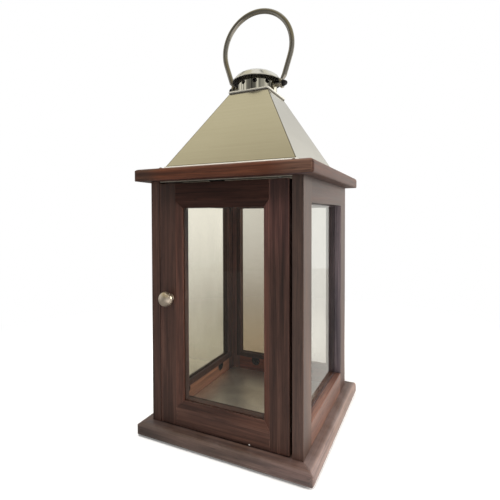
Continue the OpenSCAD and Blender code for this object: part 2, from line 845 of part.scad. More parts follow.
module roof_screws() {
    centred() color("#7a5a3c")
        roof_screw_places(sheet_t) {
            translate([0, 0, -roof_screw_l - sheet_t])
                cylinder(d = screw_d, h = roof_screw_l + sheet_t + screw_head_h / 2);
            intersection() {
                translate([0, 0, -screw_head_h * 0.4]) sphere(d = screw_head_d);
                cylinder(d = screw_head_d, h = screw_head_d);
            }
        }
}

// Half-round edged square plate
module collar_bar() {
    r = collar_t / 2;
    c = collar_w / 2 - r;
    rotate([90, 0, 0])
        translate([0, 0, -collar_w / 2])
            linear_extrude(collar_w)
                polygon(concat(arc(c, r, r, -90, 90, round_steps), arc(-c, r, r, 90, 270, round_steps)));
}
module chimney_collar() {
    centred() color(steel)
        difference() {
            translate([0, 0, collar_z])
                intersection() {
                    collar_bar();
                    rotate([0, 0, 90]) collar_bar();
                    linear_extrude(collar_t) rounded_square(collar_w, collar_r);
                }
            translate([0, 0, collar_z - over])
                cylinder(r = drum_r - drum_wall, h = collar_t + 2 * over, $fn = 72);
        }
}
module chimney_drum() {
    centred() color(steel)
        difference() {
            // Turned by half a step, so that the seam passes between two holes
            translate([0, 0, drum_z])
                rotate([0, 0, 180 / vent_n]) cylinder(r = drum_r, h = drum_h, $fn = 72);
            translate([0, 0, drum_z - over])
                rotate([0, 0, 180 / vent_n])
                    cylinder(r = drum_r - drum_wall, h = drum_h + 2 * over, $fn = 72);
            for (i = [0:vent_n - 1])
                let (bolt = i == 0 || i == vent_n / 2)
                    rotate([0, 0, 360 / vent_n * i])
                        translate([drum_r - drum_wall - over, 0, bolt_z])
                            rotate([0, 90, 0])
                                cylinder(d = bolt ? bolt_d + 2 * pin_fit : vent_d,
                                    h = drum_wall + 2 * over);
        }
}
// Turned cap: skirt, shoulder and dome, hollow, seated on the drum's rim
module chimney_cap() {
    seat_r = drum_r + stop_gap;
    s_r = seat_r + cap_wall;
    s_z = cap_cover;
    dome_r = (s_r * s_r + dome_h * dome_h) / (2 * dome_h);
    dome_c = s_z + dome_h - dome_r;
    dome_a = asin(s_r / dome_r);
    in_r = dome_r - cap_wall;
    in_a = asin((drum_r - 2 * drum_wall) / in_r);
    centred() color(steel)
        translate([0, 0, cap_z])
            rotate_extrude($fn = 72)
                polygon(concat(
                    [[cap_r - cap_wall, 0], [cap_r, 0]],
                    arc(cap_r - 1.5, skirt_h - 1.5, 1.5, 0, 60, round_steps / 2),
                    arc(0, dome_c, dome_r, 90 - dome_a, 90, 2 * round_steps),
                    arc(0, dome_c, in_r, 90, 90 - in_a, 2 * round_steps),
                    [[drum_r - 2 * drum_wall, cap_cover], [seat_r, cap_cover],
                        [cap_r - cap_wall, skirt_h - cap_wall]]));
}

// One limb: straight bar, flare and eye; the bar is a hair thinner than the
// ring so that the two meet in a plain face
module limb() {
    translate([eye_x, 0, 0])
        rotate([0, -ring_end, 0])
            translate([0, 0, flare + over / 2])
                cylinder(d = bar_d - fit, h = limb_l - flare);
    hull() {
        translate([eye_in + fit, -neck_w / 2, neck_z]) cube([eye_t - 2 * fit, neck_w, over]);
        translate([eye_x, 0, 0])
            rotate([0, -ring_end, 0])
                translate([0, 0, flare]) cylinder(d = bar_d, h = over, $fn = 32);
    }
    difference() {
        translate([eye_in, 0, 0]) rotate([0, 90, 0]) cylinder(d = eye_d, h = eye_t);
        translate([eye_in - over, 0, 0])
            rotate([0, 90, 0]) cylinder(d = bolt_d + 2 * turn_fit, h = eye_t + 2 * over);
    }
}
module ring_handle() {
    centred() color(steel)
        translate([0, 0, bolt_z]) {
            translate([0, 0, ring_rise])
                rotate([90, 0, 0])
                    rotate([0, 0, ring_end])
                        rotate_extrude(angle = 180 - 2 * ring_end, $fn = 128)
                            translate([ring_r, 0]) circle(d = bar_d);
            for (s = [-1, 1]) mirror([s < 0 ? 1 : 0, 0, 0]) limb();
        }
}

// Places a piece on both handle bolts: z runs outwards along the bolt from the middle
module on_bolts() {
    for (s = [-1, 1])
        mirror([s < 0 ? 1 : 0, 0, 0]) translate([0, 0, bolt_z]) rotate([0, 90, 0]) children();
}
module bolt_bore(r_gap) {
    cylinder(d = bolt_d + 2 * r_gap, h = bolt_end + fit);
}
module handle_bolts() {
    // The flat head clears the drum's round inside
    seat = sqrt(pow(drum_r - drum_wall, 2) - pow(bolt_head_d / 2, 2)) - fit;
    centred() color(steel)
        on_bolts() {
            translate([0, 0, seat - bolt_head_h]) cylinder(d = bolt_head_d, h = bolt_head_h);
            translate([0, 0, seat - fit]) cylinder(d = bolt_d, h = bolt_end - seat + fit);
        }
}
module bolt_spacers() {
    centred() color(steel)
        on_bolts()
            difference() {
                translate([0, 0, drum_r + pin_fit])
                    cylinder(d = spacer_d, h = eye_in - stop_gap - drum_r - pin_fit);
                bolt_bore(pin_fit);
            }
}
module handle_washers() {
    centred() color(dark_steel)
        on_bolts()
            difference() {
                translate([0, 0, eye_out + stop_gap]) cylinder(d = washer_d, h = washer_t);
                bolt_bore(pin_fit);
            }
}
module cap_nuts() {
    centred() color(dark_steel)
        on_bolts()
            difference() {
                translate([0, 0, nut_x]) {
                    cylinder(d = nut_d, h = nut_h, $fn = 6);
                    translate([0, 0, nut_h]) intersection() {
                        sphere(r = nut_dome_r, $fn = 32);
                        translate([0, 0, -fit]) cylinder(d = nut_d, h = nut_d);
                    }
                }
                bolt_bore(pin_fit);
            }
}

feet();
plinth_front();
plinth_right();
plinth_back();
plinth_left();
floor_panel();
floor_plate();
front_sill();
stop_block();
rail_screws();
left_front_stile();
left_rear_stile();
left_top_rail();
left_bottom_rail();
left_pane();
left_beads();
right_front_stile();
right_rear_stile();
right_top_rail();
right_bottom_rail();
right_pane();
right_beads();
back_left_stile();
back_right_stile();
back_top_rail();
back_bottom_rail();
back_pane();
back_beads();
door_hinge_stile();
door_latch_stile();
door_top_rail();
door_bottom_rail();
door_pane();
door_beads();
door_knob();
knob_screw();
strike_plate();
door_pivots();
thrust_washer();
catch_magnet();
top_front();
top_right();
top_back();
top_left();
top_dowels();
steel_lining();
lining_screws();
roof();
roof_screws();
chimney_collar();
chimney_drum();
chimney_cap();
ring_handle();
handle_bolts();
bolt_spacers();
handle_washers();
cap_nuts();
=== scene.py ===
import math

import bmesh
import bpy
from mathutils import Matrix, Vector

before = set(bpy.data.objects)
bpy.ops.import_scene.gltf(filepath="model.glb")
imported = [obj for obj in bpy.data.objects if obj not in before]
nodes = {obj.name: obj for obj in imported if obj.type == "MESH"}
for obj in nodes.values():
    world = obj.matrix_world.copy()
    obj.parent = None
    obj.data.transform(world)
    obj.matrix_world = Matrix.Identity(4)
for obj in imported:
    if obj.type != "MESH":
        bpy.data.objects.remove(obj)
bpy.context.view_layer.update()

# Axes, as places in a vector, and the ways that faces look
X, Y, Z = 0, 1, 2
RIGHT, LEFT, FRONT, TOP = (1, 0, 0), (-1, 0, 0), (0, -1, 0), (0, 0, 1)
# The lantern's upright axis: the knob puts it a little behind the origin
AXIS_Y = 0.00055
WHITE = (1, 1, 1, 1)


# ---------------------------------------------------------------- helpers

def lin(r, g, b):
    """An sRGB colour, 0 to 255, as the linear colour that the shaders take."""
    def one(v):
        v /= 255.0
        return v / 12.92 if v <= 0.04045 else ((v + 0.055) / 1.055) ** 2.4
    return (one(r), one(g), one(b), 1.0)


def opaque(colour, k=1.0):
    """A colour of three parts, k times as bright, with its alpha."""
    return tuple(c * k for c in colour) + (1.0,)


def along(axis, across, length):
    """Scales of (x, y, z) that stretch a pattern along one axis."""
    return tuple(length if i == axis else across for i in range(3))


class Graph:
    """A material or world being wired up, with one short call for each node."""

    def __init__(self, owner):
        owner.use_nodes = True
        self.owner = owner
        self.tree = owner.node_tree
        self.tree.nodes.clear()

    def add(self, kind, inputs=None, **props):
        node = self.tree.nodes.new("ShaderNode" + kind)
        for key, value in props.items():
            setattr(node, key, value)
        for key, value in (inputs or {}).items():
            self.put(node.inputs[key], value)
        return node

    def put(self, socket, value):
        if isinstance(value, bpy.types.NodeSocket):
            self.tree.links.new(value, socket)
        else:
            socket.default_value = value

    def math(self, op, a, b=0.0, clamp=False):
        return self.add("Math", {0: a, 1: b}, operation=op, use_clamp=clamp).outputs[0]

    def invert(self, value):
        return self.math("SUBTRACT", 1.0, value)

    def times(self, a, b):
        return self.math("MULTIPLY", a, b)

    def vector(self, op, a, b=(0, 0, 0)):
        return self.add("VectorMath", {0: a, 1: b}, operation=op).outputs["Value"]

    def coords(self, kind="Object"):
        return self.add("TexCoord").outputs[kind]

    def split(self, vector):
        return self.add("SeparateXYZ", {0: vector}).outputs

    def smooth(self, value, start, end):
        return self.add("MapRange", {0: value, 1: start, 2: end, 3: 0.0, 4: 1.0},
                        interpolation_type="SMOOTHSTEP").outputs[0]

    def band(self, value, rise, fall):
        """1 between two ramps, each given by its start and its end, and 0 outside."""
        return self.times(self.smooth(value, *rise), self.invert(self.smooth(value, *fall)))

    def noise(self, scale, detail, rough, distort=0.0, offset=(0, 0, 0)):
        """Noise that stays with the object, with scale cells to the metre along each axis."""
        at = self.add("Mapping", {"Vector": self.coords(), "Location": offset, "Scale": scale})
        return self.add("TexNoise", {"Vector": at.outputs[0], "Scale": 1.0, "Detail": detail,
                                     "Roughness": rough, "Distortion": distort}).outputs[0]

    def mix(self, factor, a, b, mode="MIX"):
        node = self.add("Mix", data_type="RGBA", blend_type=mode)
        for key, value in ((0, factor), (6, a), (7, b)):
            self.put(node.inputs[key], value)
        return node.outputs[2]

    def ramp(self, factor, stops):
        node = self.add("ValToRGB", {0: factor})
        elements = node.color_ramp.elements
        while len(elements) < len(stops):
            elements.new(0.5)
        for element, (at, colour) in zip(elements, stops):
            element.position = at
            element.color = opaque(colour)
        return node.outputs[0]

    def bump(self, height, strength, distance, normal=None):
        inputs = {"Height": height, "Strength": strength, "Distance": distance}
        if normal is not None:
            inputs["Normal"] = normal
        return self.add("Bump", inputs).outputs[0]

    def principled(self, inputs):
        return self.add("BsdfPrincipled", inputs).outputs[0]

    def shaders(self, factor, a, b):
        return self.add("MixShader", {0: factor, 1: a, 2: b}).outputs[0]

    def finish(self, surface):
        """Takes the surface as the material's own, and gives the material."""
        self.add("OutputMaterial", {"Surface": surface})
        return self.owner


def material(name):
    return Graph(bpy.data.materials.new(name))


def off_diagonal(g, x, y):
    """How far a point is off the diagonals, on which mitred boards and roof sheets meet."""
    y = g.math("SUBTRACT", y, AXIS_Y)
    return g.math("ABSOLUTE", g.math("SUBTRACT", g.math("ABSOLUTE", x), g.math("ABSOLUTE", y)))


# ---------------------------------------------------------------- wood

# Lengths are in metres, as everywhere here. A pair of numbers is where a ramp starts and ends.

# The stain from the darkest streak to the palest: the place on the ramp, and the colour. All
# the boards are STAIN_LEVEL times as pale.
STAIN = [(0.36, (0.0180, 0.0090, 0.0072)), (0.46, (0.0350, 0.0160, 0.0120)),
         (0.54, (0.0580, 0.0255, 0.0182)), (0.66, (0.1000, 0.0465, 0.0315))]
STAIN_LEVEL = 1.06
# What each size of noise adds to the grain, and where the finest noise opens into pores
BANDS, STREAKS, FIBRES = 0.30, 0.38, 0.32
PORE = (0.007, 0.004, 0.0033, 1)
PORES = (0.60, 0.72)
# The cosine between a face and the way that it is asked to look
FACING, UPWARD = (0.35, 0.6), (0.25, 0.95)
# The stain is rubbed, with a painted highlight, where a rounded edge has turned this far from the
# flat face beside it
RUBBED_AND_LIT = (0.150, 0.072, 0.050)
EDGE_TURN = (0.01, 0.20)
EDGE_R, MITRED_EDGE_R = 0.0012, 0.0024
DUST = lin(152, 136, 134)
# A recess is painted black inside as shade, turning to wood at this distance from its centre and
# this deep in its floor
PIT_SHADE = (0.006, 0.005, 0.005, 1)
PIT_RIM = (0.0072, 0.0078)
PIT_FLOOR = 0.0004
JOINT = (0.005, 0.0035, 0.003, 1)
JOINT_W = 0.0005
CHIP = (0.85, 0.83, 0.80, 1)
CHIP_RIM = (0.0007, 0.0011)


def wood(name, axis, seed, tone=1.0, red=1.0, dust=0.0, mitred=False, gloss=0.28, painted_light=(),
         pits=None, chip=None, worn_and_lit=(0.5, 1.0)):
    """Stained hardwood with its grain along axis, cut from its own stretch of board.
    painted_light lists where light and shade are painted into the stain: the way the faces look
    or None for all, how much, its tint and, if it fades in, an axis with its start and its end.
    pits are round recesses, painted black inside as shade: the direction out of them, the place
    of their floor along it, and their centres. chip is a small white spot.
    worn_and_lit says how much the edges are rubbed and carry a painted highlight, and how pale
    they are there."""
    g = material(name)
    off = (seed * 0.37 + 0.11, seed * 0.53 + 0.07, seed * 0.71 + 0.03)
    # The grain, from broad bands to streaks and fibres, and the open pores
    broad = g.noise(along(axis, 30.0, 3.4), 3.0, 0.5, 0.9, off)
    streak = g.noise(along(axis, 210.0, 5.0), 5.0, 0.68, 0.45, off)
    fine = g.noise(along(axis, 800.0, 18.0), 4.0, 0.65, 0.0, off)
    pores = g.smooth(g.noise(along(axis, 1500.0, 70.0), 2.0, 0.5, 0.0, off), *PORES)
    blend = g.math("ADD", g.times(broad, BANDS), g.times(streak, STREAKS))
    blend = g.math("ADD", blend, g.times(fine, FIBRES))
    k = tone * STAIN_LEVEL
    colour = g.ramp(blend, [(at, (c[0] * k, c[1] * k / red, c[2] * k / red)) for at, c in STAIN])
    colour = g.mix(g.times(pores, 0.5), colour, PORE)

    place, normal = g.coords(), g.coords("Normal")
    xyz = g.split(place)
    for side, much, tint, *fade in painted_light:
        # Light and shade are painted into the stain here, by the way a face looks and where it
        # lies; they change more in the pale streaks than between them
        painted_amount = g.times(g.math("ADD", 0.6, g.times(streak, 0.8)), much)
        if side:
            painted_amount = g.times(painted_amount, g.smooth(g.vector("DOT_PRODUCT", normal, side), *FACING))
        for at, start, end in fade:
            painted_amount = g.times(painted_amount, g.smooth(xyz[at], start, end))
        tinted = g.mix(1.0, colour, opaque(tint), "MULTIPLY")
        colour = g.mix(g.math("MULTIPLY", painted_amount, 1.0, clamp=True), colour, tinted)
    if pits:
        outward, floor, centres = pits
        deep = g.smooth(g.vector("DOT_PRODUCT", place, outward), floor - PIT_FLOOR, floor)
        for centre in centres:
            # A centre's place along its own axis is None
            span = [g.math("POWER", g.math("SUBTRACT", out, at), 2.0)
                    for out, at in zip(xyz, centre) if at is not None]
            away = g.math("SQRT", g.math("ADD", *span))
            # Painted shade: black inside the recess
            inside = g.times(g.invert(g.smooth(away, *PIT_RIM)), deep)
            colour = g.mix(inside, colour, PIT_SHADE)
    if mitred:
        # The closed joint between two boards reads as a dark hairline
        line = g.invert(g.smooth(off_diagonal(g, xyz[X], xyz[Y]), 0.0, JOINT_W))
        colour = g.mix(g.times(line, 0.8), colour, JOINT)

    # Along the edges the stain is rubbed back, and a highlight is painted there
    radius = MITRED_EDGE_R if mitred else EDGE_R
    rounded = g.add("Bevel", {"Radius": radius}, samples=4).outputs[0]
    flat = g.add("NewGeometry").outputs["Normal"]
    turn = g.invert(g.vector("DOT_PRODUCT", rounded, flat))
    rub_and_highlight = g.times(g.smooth(turn, *EDGE_TURN), g.smooth(streak, 0.35, 0.65))
    much, pale = worn_and_lit
    colour = g.mix(g.times(rub_and_highlight, much), colour, opaque(RUBBED_AND_LIT, pale * k))
    if dust:
        patch = g.noise((34, 34, 34), 6.0, 0.65, 0.0, off)
        veil = g.times(g.smooth(g.split(normal)[Z], *UPWARD), g.smooth(patch, 0.30, 0.75))
        colour = g.mix(g.times(veil, dust), colour, DUST)
    if chip:
        near = g.vector("DISTANCE", place, chip)
        colour = g.mix(g.invert(g.smooth(near, *CHIP_RIM)), colour, CHIP)

    height = g.math("SUBTRACT", g.times(fine, 0.5), g.times(pores, 0.8))
    return g.finish(g.principled({
        "Base Color": colour, "Roughness": g.math("ADD", 0.34, g.times(streak, 0.24)),
        "Normal": g.bump(height, 0.30, 0.00035, rounded), "Specular IOR Level": gloss,
        "Coat Weight": gloss * 0.2, "Coat Roughness": 0.2}))


# ---------------------------------------------------------------- metal, glass and the rest

# Where the clouding of the metals starts in its noise, and how it turns from dark to pale
CLOUD_AT = (0.3, 0.1, 0.2)
CLOUDED = (0.3, 0.7)


def steel(name, tint, rough, scratch=0.0, axis=Z, cloud=0.06, spots=0.0, metallic=1.0):
    """Sheet or turned metal with soft clouding, fine drawn scratches and small stains."""
    g = material(name)
    clouds = g.noise((22, 22, 22), 4.0, 0.55, 0.4, CLOUD_AT)
    lines = g.noise(along(axis, 1400.0, 30.0), 3.0, 0.6)
    # The dark clouds go deeper than the pale ones
    dark = opaque(tint, 1.0 - 2.2 * cloud)
    pale = opaque([min(1.0, c * (1.0 + cloud)) for c in tint])
    colour = g.mix(g.smooth(clouds, *CLOUDED), dark, pale)
    if spots:
        stain = g.smooth(g.noise((160, 160, 160), 3.0, 0.7, 0.0, (0.7, 0.2, 0.5)), 0.62, 0.78)
        tarnish = (tint[0] * 0.35, tint[1] * 0.3, tint[2] * 0.22, 1)
        colour = g.mix(g.times(stain, spots), colour, tarnish)
    r = g.math("ADD", rough, g.times(clouds, rough * 0.5))
    r = g.math("ADD", r, g.times(lines, scratch * 0.25))
    inputs = {"Base Color": colour, "Roughness": r, "Metallic": metallic}
    if scratch:
        inputs["Normal"] = g.bump(lines, scratch, 0.00008)
    return g.finish(g.principled(inputs))


# Heights on the roof: the buffed hem, the painted shade line above it and the painted shadow
# under the collar; and the half width of a fold's painted shade line
HEM_FOOT, HEM_TOP = (0.3343, 0.3347), (0.3372, 0.3375)
LIP_FOOT, LIP_TOP = (0.3374, 0.3376), (0.3380, 0.3385)
NECK = (0.4376, 0.4380)
FOLD = (0.0004, 0.0012)


def roof_sheet():
    """Polished sheet with painted shade lines along its folds, above its hem and under the
    collar, and a bright buffed hem at its foot.
    """
    g = material("roof_sheet")
    x, y, z = g.split(g.coords())
    clouds = g.noise((16, 16, 16), 3.0, 0.5, 0.4, CLOUD_AT)
    brushed = g.noise((9, 9, 420), 4.0, 0.6, 0.2)
    tone = g.math("ADD", g.times(clouds, 0.5), g.times(brushed, 0.5))
    colour = g.mix(g.smooth(tone, *CLOUDED), (0.79, 0.765, 0.695, 1), (0.84, 0.815, 0.75, 1))
    # Painted shade: dark lines along the folds and above the hem, and a dark roof top under the
    # collar
    fold = g.invert(g.smooth(off_diagonal(g, x, y), *FOLD))
    shade_lines = g.math("MAXIMUM", fold, g.band(z, LIP_FOOT, LIP_TOP))
    shade_lines = g.math("MAXIMUM", shade_lines, g.smooth(z, *NECK))
    colour = g.mix(g.times(shade_lines, 0.85), colour, (0.09, 0.075, 0.055, 1))
    polished = g.principled({"Base Color": colour, "Metallic": 1.0,
                             "Roughness": g.math("ADD", 0.13, g.times(tone, 0.10))})
    pale = g.mix(brushed, (0.72, 0.68, 0.61, 1), (0.86, 0.84, 0.79, 1))
    buffed = g.principled({"Base Color": pale, "Metallic": 0.35, "Roughness": 0.40})
    return g.finish(g.shaders(g.band(z, HEM_FOOT, HEM_TOP), polished, buffed))


# The cosine between a face and straight up
DOWNWARD = (-0.6, -0.3)
# The radius inside which the drum is painted black as shade. Its seam: x, half width, and a front
# half only.
DRUM_INSIDE = (0.0252, 0.0256)
SEAM_X = 0.0045
SEAM = (0.0003, 0.0008)
SEAM_Y = (-0.002, 0.0)


def chimney_sheet(name, tint, rough, metallic=1.0, underside_shade=1.0, seam=False):
    """Mirror-like sheet, painted black as shade where it faces down. A seam also means a drum,
    painted black as shade inside.
    """
    g = material(name)
    x, y, _ = g.split(g.coords())
    clouds = g.noise((60, 60, 60), 4.0, 0.55, 0.0, CLOUD_AT)
    colour = g.mix(clouds, opaque(tint, 0.85), opaque(tint))
    # Painted shade: the sheet turns black where it faces down
    up = g.split(g.coords("Normal"))[Z]
    shade_mask = g.times(g.invert(g.smooth(up, *DOWNWARD)), underside_shade)
    if seam:
        y = g.math("SUBTRACT", y, AXIS_Y)
        radius = g.math("SQRT", g.math("ADD", g.times(x, x), g.times(y, y)))
        shade_mask = g.math("MAXIMUM", shade_mask, g.invert(g.smooth(radius, *DRUM_INSIDE)))
        line = g.invert(g.smooth(g.math("ABSOLUTE", g.math("SUBTRACT", x, SEAM_X)), *SEAM))
        front = g.invert(g.smooth(y, *SEAM_Y))
        colour = g.mix(g.times(line, front), colour, (0.03, 0.03, 0.03, 1))
    bright = g.principled({"Base Color": colour, "Metallic": metallic,
                           "Roughness": g.math("ADD", rough, g.times(clouds, 0.04))})
    black = g.mix(clouds, (0.035, 0.033, 0.035, 1), (0.075, 0.071, 0.075, 1))
    black = g.principled({"Base Color": black, "Roughness": 0.75})
    return g.finish(g.shaders(shade_mask, bright, black))


def glass(name, low, high, bottom, top, shade_x=None):
    """Window glass with painted shade, darker and warmer towards the bottom; low and high are the
    colours that a white wall has behind it there. shade_x gives where the painted shade ends."""
    g = material(name)
    x, _, z = g.split(g.coords())
    # Painted shade: the tint darkens unevenly towards the bottom
    shade_patches = g.noise((30, 30, 12), 3.0, 0.6, 0.5)
    uneven = g.times(g.math("SUBTRACT", shade_patches, 0.5), 0.18)
    at = g.math("ADD", g.smooth(z, bottom, top), uneven, clamp=True)
    tint = g.mix(at, opaque(low), opaque(high))
    if shade_x:
        tint = g.mix(g.smooth(x, *shade_x), tint, (0.95, 0.95, 0.935, 1))
    pane = g.principled({"Base Color": tint, "Roughness": 0.0, "IOR": 1.46,
                         "Transmission Weight": 1.0})
    # Light passes it as if it were thin, so that what stands behind it is lit
    clear = g.add("BsdfTransparent", {"Color": g.mix(0.55, tint, WHITE)}).outputs[0]
    ray = g.add("LightPath").outputs
    light = g.math("MAXIMUM", ray["Is Shadow Ray"], ray["Is Diffuse Ray"])
    return g.finish(g.shaders(light, pane, clear))


def plain(name, colour, rough, bump=0.0, scale=400.0):
    """A matt material with a mottled surface."""
    g = material(name)
    mottle = g.noise((scale, scale, scale), 4.0, 0.6)
    inputs = {"Base Color": g.mix(mottle, opaque(colour[:3], 0.7), colour),
              "Roughness": g.math("ADD", rough, g.times(mottle, 0.1))}
    if bump:
        inputs["Normal"] = g.bump(mottle, bump, 0.0003)
    return g.finish(g.principled(inputs))


def paint(node, mat):
    piece = nodes[node]
    if not piece.material_slots:
        piece.data.materials.append(mat)
    for slot in piece.material_slots:
        slot.material = mat


# ---------------------------------------------------------------- finishes

PLINTH = dict(red=0.78, mitred=True, gloss=0.6, worn_and_lit=(0.8, 1.0))
HEAD = dict(mitred=True, gloss=0.15, worn_and_lit=(0.8, 1.0))
HEAD_SIDE = dict(HEAD, gloss=0.28, dust=0.15)
DULL = dict(gloss=0.10)
# The recesses of the rail screws: the way out of them, their floor, and their centres
LEFT_PITS = (RIGHT, -0.0948, [(None, -0.04445, 0.034), (None, 0.04555, 0.034)])
BACK_PITS = (FRONT, -0.0938, [(-0.045, None, 0.034), (0.045, None, 0.034)])
# Each board: its grain's direction, its tone, and what else sets it apart. Its lists of faces and
# tints paint light and shade into the stain, and some tones are painted light and shade too. A
# board's place in this list sets its stretch of grain.
BOARDS = {
    "plinth_front": (X, 1.20, dict(PLINTH, dust=0.16, painted_light=[
        (FRONT, 1.0, (1.35, 1.45, 1.6)),
        (None, 1.0, (1.6, 1.6, 1.75), (X, 0.0, 0.11)),
        (None, 1.0, (0.52, 0.52, 0.54), (X, -0.03, -0.10))])),
    "plinth_back": (X, 1.20, dict(PLINTH, dust=0.26)),
    "plinth_left": (Y, 1.20, dict(PLINTH, dust=0.26)),
    # Painted light: this board is paler as lit from the right
    "plinth_right": (Y, 1.85, dict(PLINTH, dust=0.36, gloss=0.8, painted_light=[
        (RIGHT, 0.7, (1.6, 1.7, 1.9)),
        (None, 1.0, (1.3, 1.35, 1.45), (Y, 0.0, -0.09))])),
    "top_front": (X, 1.40, dict(HEAD, red=1.10, dust=0.12, painted_light=[
        (FRONT, 1.0, (1.25, 1.05, 0.75)),
        (None, 1.0, (1.45, 2.2, 2.9), (X, 0.06, 0.105)),
        (None, 1.0, (0.62, 0.88, 1.1), (X, -0.07, -0.10))])),
    "top_back": (X, 1.35, dict(HEAD, red=1.10, dust=0.12)),
    "top_left": (Y, 1.3, dict(HEAD_SIDE, red=1.02)),
    "top_right": (Y, 1.3, HEAD_SIDE),
    "floor_panel": (Y, 1.5, {}),
    "front_sill": (X, 0.42, DULL),
    "stop_block": (X, 1.2, {}),
    "left_front_stile": (Z, 1.08, dict(red=0.94)),
    "left_rear_stile": (Z, 1.15, dict(DULL, red=0.95, painted_light=[(RIGHT, 1.0, (1.6, 1.7, 1.8))])),
    "left_top_rail": (Y, 0.9, DULL),
    "left_bottom_rail": (Y, 1.0, dict(DULL, red=0.98, pits=LEFT_PITS, painted_light=[
        (RIGHT, 1.0, (5.2, 5.0, 3.9))])),
    "right_front_stile": (Z, 1.04, dict(red=0.84, gloss=0.5, painted_light=[
        (RIGHT, 0.22, (1.5, 1.55, 1.6)),
        (FRONT, 1.0, (2.0, 1.9, 1.9), (Z, 0.16, 0.04)),
        (RIGHT, 1.0, (1.4, 1.45, 1.45), (Z, 0.18, 0.05))])),
    "right_rear_stile": (Z, 1.05, dict(red=0.95, gloss=0.5, painted_light=[
        (FRONT, 1.0, (4.2, 7.0, 10.6))])),
    "right_top_rail": (Y, 1.0, dict(red=0.95, gloss=0.5)),
    # Painted light: this rail is paler as lit from the right
    "right_bottom_rail": (Y, 1.85, dict(red=0.90, gloss=0.6, painted_light=[
        (RIGHT, 0.6, (1.8, 1.8, 1.8)),
        (TOP, 1.0, (2.4, 2.25, 2.2))])),
    "back_left_stile": (Z, 1.2, dict(DULL, red=0.95, painted_light=[(FRONT, 1.0, (3.2, 3.2, 3.2))])),
    "back_right_stile": (Z, 1.05, dict(DULL, red=0.95, painted_light=[(FRONT, 1.0, (2.2, 2.2, 2.2))])),
    "back_top_rail": (X, 1.0, DULL),
    "back_bottom_rail": (X, 1.15, dict(DULL, red=1.12, pits=BACK_PITS, painted_light=[
        (FRONT, 1.0, (3.2, 2.0, 1.4))])),
    "left_beads": (Z, 0.85, dict(DULL, painted_light=[(FRONT, 1.0, (2.2, 2.2, 2.2))])),
    "right_beads": (Z, 0.85, dict(DULL, painted_light=[
        (RIGHT, 1.0, (3.2, 6.0, 9.5)),
        (FRONT, 1.0, (2.6, 4.6, 7.2))])),
    "back_beads": (Z, 0.85, DULL),
    "door_hinge_stile": (Z, 1.18, dict(red=0.97, worn_and_lit=(0.95, 1.6), painted_light=[
        (LEFT, 0.9, (2.6, 1.9, 1.6)),
        (None, 1.0, (1.3, 1.2, 1.35), (Z, 0.20, 0.27)),
        (None, 1.0, (0.55, 0.52, 0.50), (Z, 0.278, 0.308))])),
    "door_latch_stile": (Z, 1.18, dict(red=0.96, worn_and_lit=(0.95, 1.3), painted_light=[
        (RIGHT, 0.6, (2.6, 1.9, 1.6)),
        (None, 1.0, (0.62, 0.60, 0.58), (Z, 0.278, 0.308))])),
    # Painted shadow: this rail is darker as shaded by the top board
    "door_top_rail": (X, 0.62, dict(DULL, red=1.08)),
    "door_bottom_rail": (X, 1.22, dict(
        red=0.96, worn_and_lit=(0.9, 1.3), chip=(0.0365, -0.0994, 0.0186), painted_light=[
            (None, 1.0, (1.35, 1.3, 1.25), (X, 0.0, 0.05)),
            (TOP, 1.0, (0.25, 0.25, 0.28))])),
    "door_beads": (Z, 0.85, {}),
}
for i, (node, (axis, tone, more)) in enumerate(BOARDS.items()):
    paint(node, wood("wood_" + node, axis, i + 1, tone, **more))

paint("top_dowels", plain("beech", lin(176, 142, 100), 0.6))
paint("feet", plain("felt", lin(72, 68, 64), 0.9, 0.6, 900.0))
paint("catch_magnet", plain("magnet_coat", lin(38, 38, 40), 0.45))

paint("roof", roof_sheet())
paint("chimney_collar", chimney_sheet("collar_sheet", (0.92, 0.89, 0.80), 0.28, 0.6, 0.55))
paint("chimney_drum", chimney_sheet("drum_sheet", (0.81, 0.78, 0.66), 0.05, seam=True))
paint("chimney_cap", chimney_sheet("cap_sheet", (0.75, 0.735, 0.68), 0.12, 0.85))

paint("floor_plate", steel("mirror_floor", (0.93, 0.89, 0.79), 0.30, axis=X, cloud=0.10,
                           metallic=0.92))
paint("steel_lining", steel("lining", (0.80, 0.76, 0.68), 0.45, 0.15, X, 0.05))
paint("door_knob", steel("knob_nickel", (0.75, 0.66, 0.56), 0.27, 0.10, Y, 0.08, spots=0.6))
paint("rail_screws", steel("screw_dark", (0.05, 0.05, 0.05), 0.4))
paint("roof_screws", steel("bronzed", (0.16, 0.11, 0.08), 0.38))
for node in ("ring_handle", "bolt_spacers"):
    paint(node, steel("nickel_" + node, (0.365, 0.345, 0.305), 0.15, 0.12, cloud=0.07))
for node in ("cap_nuts", "handle_washers"):
    paint(node, steel("black_nickel_" + node, (0.075, 0.075, 0.08), 0.26))
for node in ("knob_screw", "lining_screws"):
    paint(node, steel("screw_" + node, (0.22, 0.21, 0.20), 0.35))
for node in ("handle_bolts", "strike_plate", "door_pivots", "thrust_washer"):
    paint(node, steel("zinc_" + node, (0.52, 0.52, 0.51), 0.33))

paint("door_pane", glass("glass_door", (0.92, 0.92, 0.91), (0.94, 0.94, 0.93), 0.05, 0.30))
paint("left_pane", glass("glass_left", (0.31, 0.28, 0.20), (0.95, 0.91, 0.78), 0.05, 0.29))
paint("back_pane", glass("glass_back", (0.225, 0.172, 0.105), (0.70, 0.66, 0.56), 0.05, 0.30,
                         (-0.02, 0.05)))
paint("right_pane", glass("glass_right", (0.56, 0.555, 0.515), (0.71, 0.70, 0.65), 0.07, 0.22))


# ---------------------------------------------------------------- studio

FLOOR_R = 1.5
# Distances from the middle between which the floor turns from lit to pure white
FLOOR_FADE = (0.18, 0.75)
